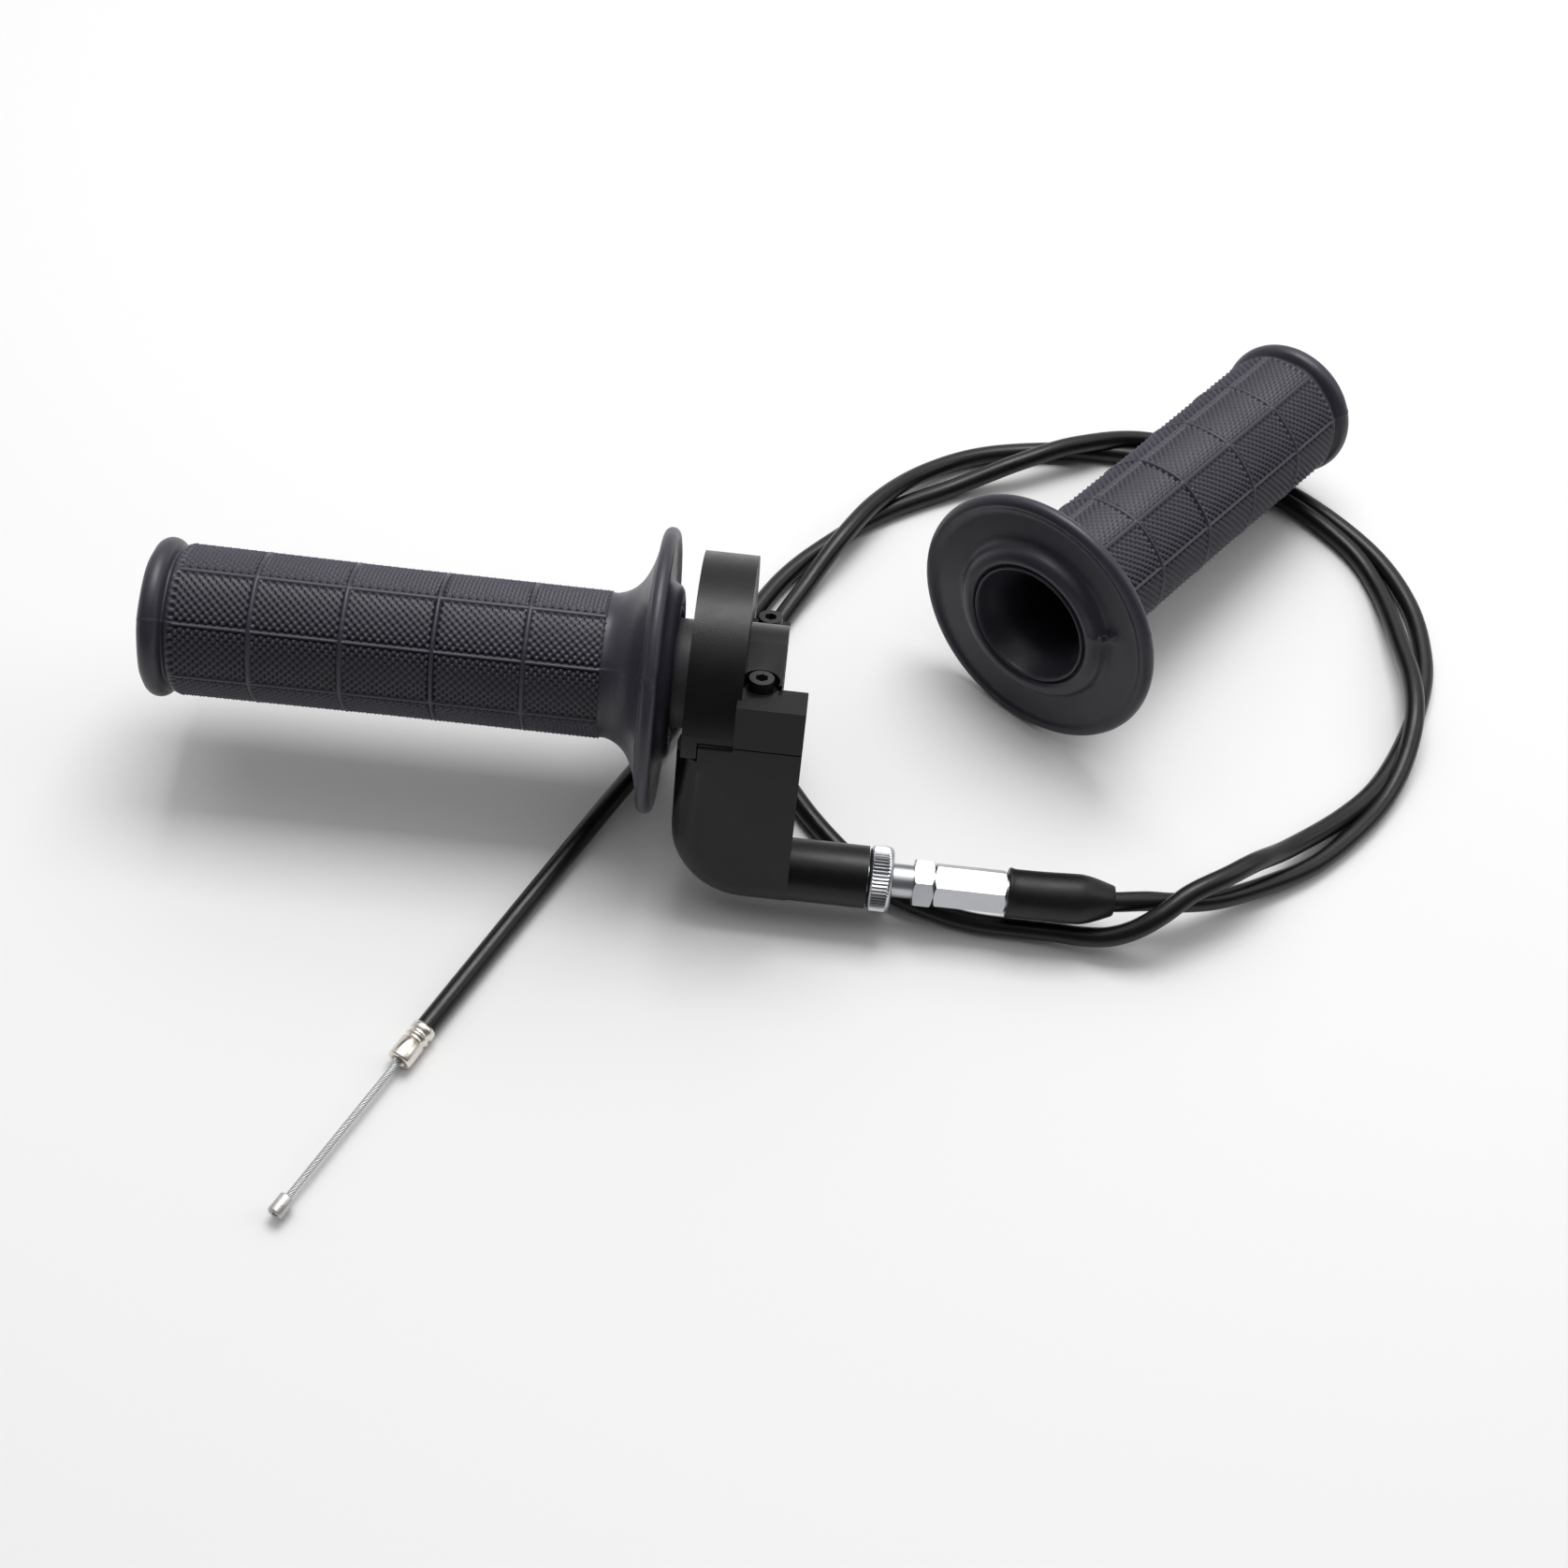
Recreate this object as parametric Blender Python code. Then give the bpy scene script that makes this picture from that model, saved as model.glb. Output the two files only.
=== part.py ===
"""Twist-grip throttle set for a 22 mm handlebar: a throttle grip with its housing, cable and adjuster,
and the matching left grip.

World frame in metres, +Z up. The handlebar axis runs along X, level, with +X inboard. The floor is z = 0.
The origin is the middle of the floor rectangle under the rigid pieces.
"""
import math

import bmesh
import bpy
from mathutils import Matrix, Vector

MM = 0.001
GAP = 0.3 * MM                      # clearance kept between neighbouring pieces

# Where the set stands. The grip's flange middle plane crosses the bar axis at BAR_POINT.
BAR_POINT = Vector((-26.6, -49.7, 40.5)) * MM
HOUSING_PITCH = math.radians(18.0)  # the housing leans back on the bar by this angle

# Grips
GRIP_LENGTH = 114.3 * MM            # flange middle plane to end-bead middle
BEAD_R = 18.5 * MM
BEAD_HALF = 2.7 * MM
BODY_R_OUTER_END = 17.2 * MM
BODY_R = 16.8 * MM
FLANGE_R = 33.25 * MM
RIM_HALF = 1.75 * MM
HUB_R = 18.0 * MM
HUB_REACH = 4.2 * MM
RIGHT_MOUTH_R = 14.6 * MM
LEFT_MOUTH_R = 15.0 * MM
MOUTH_DEPTH = 4.0 * MM
END_WALL = 2.4 * MM
END_HOLE_R = 5.0 * MM
BAR_R = 11.1 * MM                   # 22.2 mm handlebar
GRIP_SEGMENTS = 48

# Throttle tube and its cable drum
TUBE_R = 12.7 * MM
TUBE_BORE_R = 11.4 * MM
TUBE_OUTER_END = -112.0 * MM
DRUM_X = (10.8 * MM, 18.4 * MM)
DRUM_R = 24.4 * MM
PITCH_R = 22.0 * MM                 # radius at which the wire wraps the drum
GROOVE_X = 14.4 * MM
GROOVE_HALF = 1.3 * MM
GROOVE_FLOOR_R = PITCH_R - 1.1 * MM
NIPPLE_ANGLE = math.radians(14.0)   # above the drum's front point, at rest
NIPPLE_R = 2.4 * MM
NIPPLE_HALF = 2.6 * MM

# Housing, in its own frame: bar axis at the origin, front is -Y, up is +Z
DISC_X = (8.0 * MM, 20.4 * MM)
DISC_R = 28.8 * MM
CAVITY_X = (10.2 * MM, 18.9 * MM)
CAVITY_R = 26.0 * MM
COLLAR_END = 29.0 * MM
COLLAR_R = 13.6 * MM
BLOCK_LEFT = 6.8 * MM
BLOCK_RIGHT = 34.9 * MM
LEDGE_Z = 12.0 * MM
LEDGE_DEPTH = 9.0 * MM
BOSS_TOP = 13.1 * MM
BOSS_FRONT = 20.4 * MM
REAR_LUG_TOP = 3.4 * MM
REAR_LUG_BACK = 21.6 * MM
ELBOW_R = 18.0 * MM
ELBOW_EDGE = 6.9 * MM
PARTING_STEP_X = 11.8 * MM
PARTING_LOW = -3.4 * MM
PARTING_HIGH = 1.1 * MM
OUTLET_Y = -22.0 * MM
OUTLET_Z = -36.4 * MM
OUTLET_R = 7.35 * MM
OUTLET_END = 53.1 * MM
WIRE_CHANNEL = 2.2 * MM             # half width of the square channel
WIRE_BEND = 14.0 * MM

# Clamp screws
SCREW_X = 24.2 * MM
SCREWS = {"front": (-19.0 * MM, 10.2 * MM), "rear": (17.0 * MM, 3.7 * MM)}   # y, underside of the head
SCREW_R = 2.0 * MM
SCREW_HEAD_R = 2.85 * MM
SCREW_HEAD_HEIGHT = 3.6 * MM
SCREW_SOCKET = (1.5 * MM, 2.0 * MM)   # corner radius and depth
SCREW_TIP_Z = -11.2 * MM
COUNTERBORE_R = 4.2 * MM
NUT_FLAT = 7.0 * MM
NUT_Z = (-9.0 * MM, -5.8 * MM)

# Adjuster, along the outlet axis
BARREL_R = 3.95 * MM
BARREL_BORE_R = 1.5 * MM
BARREL_X = (40.0 * MM, 80.0 * MM)
THREAD_BORE_R = 4.25 * MM
RING_X = (53.4 * MM, 58.9 * MM)
RING_R = 7.65 * MM
LOCK_NUT_X = (63.9 * MM, 68.4 * MM)
LOCK_NUT_FLAT = 10.6 * MM
LOCK_NUT_TURN = math.radians(23.0)
HEX_X = (68.8 * MM, 85.4 * MM)
HEX_FLAT = 9.4 * MM
HEX_TURN = math.radians(30.0)
SPIGOT_END = 91.0 * MM
SPIGOT_R = 4.0 * MM
SHEATH_CAP_X = (83.0 * MM, 92.2 * MM)
SHEATH_CAP_R = 3.1 * MM
BOOT_X = (85.8 * MM, 111.0 * MM)
BOOT_R = 5.9 * MM
BOOT_TIP_R = 3.7 * MM
BOOT_TIP_BORE_R = 3.2 * MM
BOOT_SAG_FROM = 90.0 * MM
BOOT_SAG = Vector((0.0, 1.77, -0.42)) * MM   # how far the tip bends, in the housing frame

# Cable
SHEATH_R = 2.4 * MM
WIRE_R = 0.75 * MM
SHEATH_START = 97.8 * MM
SHEATH_POINTS = 78
SHEATH_END_LENGTH = 40.0 * MM
SHEATH_BORE_R = 1.15 * MM
FERRULE_LENGTH = 10.1 * MM
FERRULE_R = 2.9 * MM
FERRULE_OVERLAP = 5.7 * MM
BARE_WIRE = 39.3 * MM
END_NIPPLE_R = 1.8 * MM
END_NIPPLE_LENGTH = 4.8 * MM
TAIL_START = Vector((-27.5, -48.3, 3.0)) * MM
TAIL_DIRECTION = Vector((-0.436, -0.900, 0.0)).normalized()

# Left grip: where its flange stands, its heading and its tilt
LEFT_FLANGE_FLOOR = Vector((88.1, 34.9)) * MM
LEFT_YAW = math.radians(54.2)
LEFT_TILT = math.radians(5.6)

# Cable route on the floor, from the boot to the straight tail, in mm from the flange's floor point
CABLE_ROUTE = (
    (104.5, -31.8, 12.55), (111, -31.1, 12.0), (119, -28.9, 10.6), (127, -26.9, 8.5), (137, -23.0, 6.0),
    (149, -16.0, 3.8), (161, -7.8, 2.6), (171, 2.3, 2.55), (179, 13.0, 2.7), (184.5, 24.5, 4.4),
    (187.3, 36.5, 7.4), (187.6, 48.0, 7.9), (186.0, 61.0, 6.2), (182.0, 83.0, 2.9), (174.5, 97.5, 2.55),
    (159.0, 111.4, 2.55), (140.0, 119.4, 2.55), (119.0, 122.6, 2.55), (98.0, 121.6, 2.55),
    (76.0, 116.6, 2.6), (60.0, 106.6, 3.8), (48.4, 92.0, 7.2), (40.0, 77.6, 7.6), (31.5, 62.0, 3.9),
    (24.5, 46.0, 2.55), (22.0, 27.0, 2.55), (27.0, 8.5, 2.55), (37.5, -8.2, 2.55), (50.8, -22.3, 2.55),
    (60.5, -29.4, 2.55), (71.2, -33.2, 2.55), (80.0, -34.9, 2.6), (90.2, -35.3, 2.9), (98.6, -35.8, 3.6),
    (105.0, -36.9, 4.9), (111.0, -37.4, 6.8), (116.8, -36.3, 9.5), (122.4, -33.4, 12.5),
    (128.7, -28.3, 14.8), (137.3, -22.4, 15.0), (144.4, -16.2, 13.2),
    (154.0, -7.0, 7.4), (168.0, 6.2, 3.6), (178.0, 17.8, 2.6), (185.5, 32.0, 2.55),
    (191.0, 48.0, 2.55), (192.6, 62.0, 2.55), (190.0, 79.0, 2.55), (181.0, 96.0, 2.55),
    (164.0, 112.0, 2.55), (143.5, 123.4, 2.55), (120.5, 128.0, 3.6), (101.0, 119.6, 7.7),
    (86.0, 111.5, 7.4), (68.0, 103.0, 3.0), (50.5, 92.0, 2.55), (36.5, 78.6, 2.55), (25.0, 64.0, 2.55),
    (15.5, 44.0, 2.6), (6.0, 21.0, 3.4), (-2.1, 2.4, 3.9), (-11.9, -17.0, 3.6),
)


def material(name, colour, roughness, metallic=0.0):
    mat = bpy.data.materials.new(name)
    mat.use_nodes = True
    shader = mat.node_tree.nodes["Principled BSDF"]
    shader.inputs["Base Color"].default_value = (*colour, 1.0)
    shader.inputs["Roughness"].default_value = roughness
    shader.inputs["Metallic"].default_value = metallic
    return mat


def empty(name, location=(0, 0, 0), parent=None):
    obj = bpy.data.objects.new(name, None)
    obj.location = location
    obj.parent = parent
    bpy.context.scene.collection.objects.link(obj)
    return obj


def add_object(name, bm, mat=None, parent=None, place=None):
    """Turn a bmesh into an object with outward faces, under a parent and at a local placement."""
    bmesh.ops.recalc_face_normals(bm, faces=bm.faces)
    mesh = bpy.data.meshes.new(name)
    bm.to_mesh(mesh)
    bm.free()
    obj = bpy.data.objects.new(name, mesh)
    bpy.context.scene.collection.objects.link(obj)
    obj.parent = parent
    if place is not None:
        obj.matrix_local = place
    if mat is not None:
        mesh.materials.append(mat)
        mesh.shade_smooth()
        mesh.set_sharp_from_angle(angle=math.radians(35))
    return obj


def turned(profile, segments):
    """A closed ring of (x, radius) points spun about the X axis; no point lies on the axis."""
    bm = bmesh.new()
    verts = [bm.verts.new((x, 0.0, r)) for x, r in profile]
    edges = [bm.edges.new((verts[i - 1], verts[i])) for i in range(len(verts))]
    bmesh.ops.spin(bm, geom=verts + edges, axis=(1, 0, 0), cent=(0, 0, 0), dvec=(0, 0, 0),
                   angle=math.tau, steps=segments, use_merge=True, use_normal_flip=False)
    bmesh.ops.remove_doubles(bm, verts=bm.verts, dist=1e-7)
    return bm


def rod(x0, x1, radius, segments=32, y=0.0, z=0.0):
    """A solid cylinder along X."""
    bm = bmesh.new()
    turn = Matrix.Rotation(math.pi / 2, 4, "Y")
    middle = Matrix.Translation(((x0 + x1) / 2, y, z))
    bmesh.ops.create_cone(bm, cap_ends=True, segments=segments, radius1=radius, radius2=radius,
                          depth=x1 - x0, matrix=middle @ turn)
    return bm


def post(x, y, z0, z1, radius, segments=24):
    """A solid cylinder along Z."""
    bm = bmesh.new()
    bmesh.ops.create_cone(bm, cap_ends=True, segments=segments, radius1=radius, radius2=radius,
                          depth=z1 - z0, matrix=Matrix.Translation((x, y, (z0 + z1) / 2)))
    return bm


def box(low, high):
    low, high = Vector(low), Vector(high)
    bm = bmesh.new()
    size = Matrix.Diagonal((*(high - low), 1.0))
    bmesh.ops.create_cube(bm, size=1.0, matrix=Matrix.Translation((low + high) / 2) @ size)
    return bm


def plate(outline, y0, y1):
    """A closed (x, z) outline pushed from y0 to y1."""
    bm = bmesh.new()
    face = bm.faces.new([bm.verts.new((x, y0, z)) for x, z in outline])
    pushed = bmesh.ops.extrude_face_region(bm, geom=[face])
    moved = [item for item in pushed["geom"] if isinstance(item, bmesh.types.BMVert)]
    bmesh.ops.translate(bm, verts=moved, vec=(0, y1 - y0, 0))
    return bm


def combine(target, bm, operation):
    """Boolean a bmesh into the target for good; both are given in the frame of the target's parent."""
    other = add_object("cutter", bm, None, target.parent)
    cut = target.modifiers.new("cut", "BOOLEAN")
    cut.object = other
    cut.operation = operation
    cut.solver = "EXACT"
    bpy.context.view_layer.update()
    graph = bpy.context.evaluated_depsgraph_get()
    result = bpy.data.meshes.new_from_object(target.evaluated_get(graph), depsgraph=graph)
    target.modifiers.clear()
    target.data = result
    bpy.data.objects.remove(other)


def finish_shading(obj, mat):
    obj.data.materials.clear()
    obj.data.materials.append(mat)
    obj.data.shade_smooth()
    obj.data.set_sharp_from_angle(angle=math.radians(30))


def smooth_curve(points, count):
    """Evenly spaced points on the Catmull-Rom curve through the given points."""
    dense = []
    for i in range(len(points) - 1):
        before = points[i - 1] if i else points[0] * 2 - points[1]
        start, end = points[i], points[i + 1]
        after = points[i + 2] if i + 2 < len(points) else points[-1] * 2 - points[-2]
        for step in range(16):
            t = step / 16
            dense.append(0.5 * (2 * start + (end - before) * t
                                + (2 * before - 5 * start + 4 * end - after) * t ** 2
                                + (3 * start - before - 3 * end + after) * t ** 3))
    dense.append(points[-1])
    reach = [0.0]
    for a, b in zip(dense, dense[1:]):
        reach.append(reach[-1] + (b - a).length)
    even, k = [], 0
    for i in range(count):
        goal = reach[-1] * i / (count - 1)
        while k < len(reach) - 2 and reach[k + 1] < goal:
            k += 1
        share = (goal - reach[k]) / (reach[k + 1] - reach[k])
        even.append(dense[k].lerp(dense[k + 1], min(max(share, 0.0), 1.0)))
    return even


def cord_tube(name, points, radius, resolution, mat, parent):
    curve = bpy.data.curves.new(name, "CURVE")
    curve.dimensions = "3D"
    curve.bevel_depth = radius
    curve.bevel_resolution = resolution
    curve.use_fill_caps = True
    spline = curve.splines.new("POLY")
    spline.points.add(len(points) - 1)
    for slot, point in zip(spline.points, points):
        slot.co = (*point, 1.0)
    curve.materials.append(mat)
    obj = bpy.data.objects.new(name, curve)
    bpy.context.scene.collection.objects.link(obj)
    obj.parent = parent
    return obj


def arc(cx, cy, radius, start_deg, end_deg, steps):
    for i in range(steps + 1):
        angle = math.radians(start_deg + (end_deg - start_deg) * i / steps)
        yield cx + radius * math.cos(angle), cy + radius * math.sin(angle)


def grip_profile(bore_r, mouth_r):
    """Outline of a rubber grip with an open, funnelled inboard mouth and a holed end wall."""
    end = -GRIP_LENGTH - BEAD_HALF
    bead_x = -GRIP_LENGTH
    outline = [(end, END_HOLE_R), (end, BEAD_R - 2.2 * MM)]
    outline += list(arc(bead_x, BEAD_R - BEAD_HALF, BEAD_HALF, 150, 20, 5))
    outline += [(bead_x + 3.2 * MM, BODY_R_OUTER_END), (-60 * MM, BODY_R), (-15 * MM, BODY_R)]
    outline += [(-9.5 * MM, 17.6 * MM), (-6.2 * MM, 19.6 * MM), (-3.6 * MM, 23.5 * MM), (-2.0 * MM, 28.0 * MM)]
    outline += list(arc(0.0, FLANGE_R - RIM_HALF, RIM_HALF, 180, 0, 6))
    outline += [(0.9 * MM, 28.0 * MM), (1.2 * MM, HUB_R + 2.4 * MM), (2.6 * MM, HUB_R + 0.4 * MM)]
    outline += [(HUB_REACH, HUB_R - 1.0 * MM), (HUB_REACH, mouth_r), (-MOUTH_DEPTH, bore_r)]
    outline += [(end + END_WALL, bore_r), (end + END_WALL, END_HOLE_R)]
    return outline


def make_right_grip(parent):
    rubber = material("right_grip_rubber", (0.030, 0.030, 0.034), 0.75)
    add_object("right_grip", turned(grip_profile(TUBE_R + GAP, RIGHT_MOUTH_R), GRIP_SEGMENTS), rubber, parent)


def make_left_grip(parent):
    rubber = material("left_grip_rubber", (0.030, 0.030, 0.034), 0.75)
    add_object("left_grip", turned(grip_profile(BAR_R - 0.1 * MM, LEFT_MOUTH_R), GRIP_SEGMENTS), rubber, parent)


def nipple_centre():
    """Middle of the drum's nipple pocket at rest, in the housing frame."""
    return Vector((GROOVE_X, -PITCH_R * math.cos(NIPPLE_ANGLE), PITCH_R * math.sin(NIPPLE_ANGLE)))


def make_throttle_tube(parent):
    plastic = material("tube_plastic", (0.16, 0.16, 0.17), 0.45)
    outline = [(TUBE_OUTER_END, TUBE_BORE_R), (TUBE_OUTER_END, TUBE_R), (DRUM_X[0], TUBE_R)]
    outline += [(DRUM_X[0], DRUM_R), (GROOVE_X - GROOVE_HALF, DRUM_R)]
    outline += [(GROOVE_X - GROOVE_HALF, GROOVE_FLOOR_R), (GROOVE_X + GROOVE_HALF, GROOVE_FLOOR_R)]
    outline += [(GROOVE_X + GROOVE_HALF, DRUM_R), (DRUM_X[1], DRUM_R), (DRUM_X[1], TUBE_BORE_R)]
    tube = add_object("throttle_tube", turned(outline, 48), None, parent)
    centre = nipple_centre()
    x0, x1 = centre.x - NIPPLE_HALF - GAP, DRUM_X[1] + MM
    combine(tube, rod(x0, x1, NIPPLE_R + GAP, 24, centre.y, centre.z), "DIFFERENCE")
    finish_shading(tube, plastic)


def make_drum_nipple(parent):
    steel = material("drum_nipple_metal", (0.55, 0.53, 0.48), 0.35, 1.0)
    centre = nipple_centre()
    bm = rod(centre.x - NIPPLE_HALF, centre.x + NIPPLE_HALF, NIPPLE_R, 24, centre.y, centre.z)
    add_object("drum_nipple", bm, steel, parent)


def elbow_outline():
    """(x, z) outline of the lower block: straight left side, round lower-left corner, flat foot."""
    foot = OUTLET_Z - OUTLET_R
    corner = arc(BLOCK_LEFT + ELBOW_R, foot + ELBOW_R, ELBOW_R, 180, 270, 10)
    return [(BLOCK_RIGHT, PARTING_LOW), (BLOCK_LEFT, PARTING_LOW), *corner, (BLOCK_RIGHT, foot)]


def elbow_block():
    """The lower block with its left and foot edges rounded on the front and back."""
    bm = plate(elbow_outline(), OUTLET_Y - OUTLET_R, OUTLET_Y + OUTLET_R)
    bmesh.ops.recalc_face_normals(bm, faces=bm.faces)
    round_edges = []
    for edge in bm.edges:
        a, b = (v.co for v in edge.verts)
        in_end_face = abs(a.y - b.y) < 1e-9
        on_top = min(a.z, b.z) > PARTING_LOW - 1e-6
        on_right = min(a.x, b.x) > BLOCK_RIGHT - 1e-6
        if in_end_face and not on_top and not on_right:
            round_edges.append(edge)
    bmesh.ops.bevel(bm, geom=round_edges, offset=ELBOW_EDGE, segments=5, profile=0.5, affect="EDGES",
                    clamp_overlap=True)
    return bm


def housing_solid():
    """Both housing halves in one, hollowed for the drum, the bar, the wire, the screws and the barrel."""
    whole = add_object("housing", rod(DISC_X[0], DISC_X[1], DISC_R, 72))
    front = OUTLET_Y - OUTLET_R
    corner_end = BLOCK_LEFT + ELBOW_EDGE, front + ELBOW_EDGE, PARTING_LOW - 0.01 * MM
    outside = -DISC_R - MM
    combine(whole, box((0.0, outside, outside), corner_end), "DIFFERENCE")
    inboard = COLLAR_END - 0.01 * MM
    combine(whole, rod(DISC_X[1] - MM, COLLAR_END, COLLAR_R, 40), "UNION")
    for low, high in (((DISC_X[1] - MM, -BOSS_FRONT, -BOSS_TOP), (inboard, -3 * MM, BOSS_TOP)),
                      ((DISC_X[1] - MM, 3 * MM, -BOSS_TOP), (inboard, REAR_LUG_BACK, REAR_LUG_TOP)),
                      ((DISC_X[1] - 0.9 * MM, front, -6 * MM), (BLOCK_RIGHT, front + LEDGE_DEPTH, LEDGE_Z)),
                      ((PARTING_STEP_X, front, -6 * MM), (DISC_X[1], -24 * MM, 0.0))):
        combine(whole, box(low, high), "UNION")
    combine(whole, elbow_block(), "UNION")
    outlet = rod(BLOCK_RIGHT - 6 * MM, OUTLET_END, OUTLET_R - 0.01 * MM, 40, OUTLET_Y, OUTLET_Z)
    combine(whole, outlet, "UNION")

    combine(whole, rod(CAVITY_X[0], CAVITY_X[1], CAVITY_R, 64), "DIFFERENCE")
    combine(whole, rod(DISC_X[0] - MM, CAVITY_X[0] + MM, TUBE_R + GAP, 48), "DIFFERENCE")
    combine(whole, rod(CAVITY_X[1] - MM, COLLAR_END + MM, BAR_R, 48), "DIFFERENCE")
    channel = plate(wire_channel_outline(), OUTLET_Y - WIRE_CHANNEL, OUTLET_Y + WIRE_CHANNEL)
    combine(whole, channel, "DIFFERENCE")
    bore = rod(BARREL_X[0] - GAP, OUTLET_END + MM, THREAD_BORE_R, 32, OUTLET_Y, OUTLET_Z)
    combine(whole, bore, "DIFFERENCE")
    for y, seat in SCREWS.values():
        clear = BOSS_TOP + MM
        combine(whole, post(SCREW_X, y, SCREW_TIP_Z - GAP, clear, SCREW_R + GAP, 24), "DIFFERENCE")
        combine(whole, post(SCREW_X, y, seat - GAP, clear, COUNTERBORE_R, 32), "DIFFERENCE")
        pocket = post(SCREW_X, y, NUT_Z[0] - GAP, NUT_Z[1] + GAP, NUT_FLAT / math.sqrt(3) + GAP, 6)
        combine(whole, pocket, "DIFFERENCE")
    return whole


def wire_channel_outline():
    """(x, z) outline of the channel from the drum cavity down and round to the barrel bore."""
    half = WIRE_CHANNEL
    centre = GROOVE_X + WIRE_BEND, OUTLET_Z + WIRE_BEND
    outer = arc(*centre, WIRE_BEND + half, 180, 270, 10)
    inner = arc(*centre, WIRE_BEND - half, 270, 180, 10)
    mouth = BARREL_X[0] + MM
    return [(GROOVE_X - half, 0.0), *outer, (mouth, OUTLET_Z - half), (mouth, OUTLET_Z + half), *inner,
            (GROOVE_X + half, 0.0)]


def parting_cutters(above):
    """Blocks that take away all above, or all below, the parting surface, which steps up at the front."""
    far = 80 * MM
    high = PARTING_HIGH + MM
    if above:
        low = PARTING_LOW - GAP
        return (box((-far, -far, PARTING_HIGH - GAP), (far, far, far)),
                box((-far, -far, low), (PARTING_STEP_X, far, high)),
                box((0.0, -GAP, low), (far, far, high)))
    return (box((-far, -far, -far), (far, far, PARTING_LOW)),
            box((PARTING_STEP_X - GAP, -far, PARTING_LOW - MM), (far, 0.0, PARTING_HIGH)))


def make_housing(parent):
    black = material("housing_plastic", (0.018, 0.018, 0.020), 0.42)
    whole = housing_solid()
    for name, above in (("housing_body", True), ("housing_cap", False)):
        half = bpy.data.objects.new(name, whole.data.copy())
        bpy.context.scene.collection.objects.link(half)
        for cutter in parting_cutters(above):
            combine(half, cutter, "DIFFERENCE")
        finish_shading(half, black)
        half.parent = parent
    bpy.data.objects.remove(whole)


def make_clamp_screws(parent):
    for place, (y, seat) in SCREWS.items():
        steel = material(f"cap_screw_{place}_steel", (0.05, 0.05, 0.055), 0.4, 1.0)
        top = seat + SCREW_HEAD_HEIGHT
        screw = add_object(f"cap_screw_{place}", post(SCREW_X, y, seat, top, SCREW_HEAD_R, 24), None, parent)
        combine(screw, post(SCREW_X, y, SCREW_TIP_Z, seat + MM, SCREW_R, 20), "UNION")
        combine(screw, post(SCREW_X, y, top - SCREW_SOCKET[1], top + MM, SCREW_SOCKET[0], 6), "DIFFERENCE")
        finish_shading(screw, steel)
        zinc = material(f"captive_nut_{place}_zinc", (0.6, 0.6, 0.58), 0.4, 1.0)
        hexagon = post(SCREW_X, y, *NUT_Z, NUT_FLAT / math.sqrt(3), 6)
        nut = add_object(f"captive_nut_{place}", hexagon, None, parent)
        combine(nut, post(SCREW_X, y, NUT_Z[0] - MM, NUT_Z[1] + MM, SCREW_R + GAP, 20), "DIFFERENCE")
        finish_shading(nut, zinc)


def tube_profile(x0, x1, outer, inner, chamfer=0.0):
    return [(x0, inner), (x0, outer - chamfer), (x0 + chamfer, outer), (x1 - chamfer, outer),
            (x1, outer - chamfer), (x1, inner)]


def ring_solid(name, x0, x1, outer, inner, mat, parent, segments=32, chamfer=0.3 * MM):
    return add_object(name, turned(tube_profile(x0, x1, outer, inner, chamfer), segments), mat, parent)


def hex_solid(name, x0, x1, flat, turn, parent):
    """A hexagonal bar along X with its corners turned off at both ends."""
    corner = flat / math.sqrt(3)
    bm = rod(x0, x1, corner, 6)
    bmesh.ops.rotate(bm, verts=bm.verts, cent=(0, 0, 0), matrix=Matrix.Rotation(turn, 3, "X"))
    bar = add_object(name, bm, None, parent)
    bevel = 0.7 * MM
    turned_ends = [(x0 - MM, corner + MM), (x0 - MM, corner - bevel - MM * 0.5), (x0, corner - bevel),
                   (x0 + bevel * 0.6, corner + 0.05 * MM), (x1 - bevel * 0.6, corner + 0.05 * MM),
                   (x1, corner - bevel), (x1 + MM, corner - bevel - MM * 0.5), (x1 + MM, corner + MM)]
    combine(bar, turned(turned_ends, 36), "DIFFERENCE")
    return bar


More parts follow.
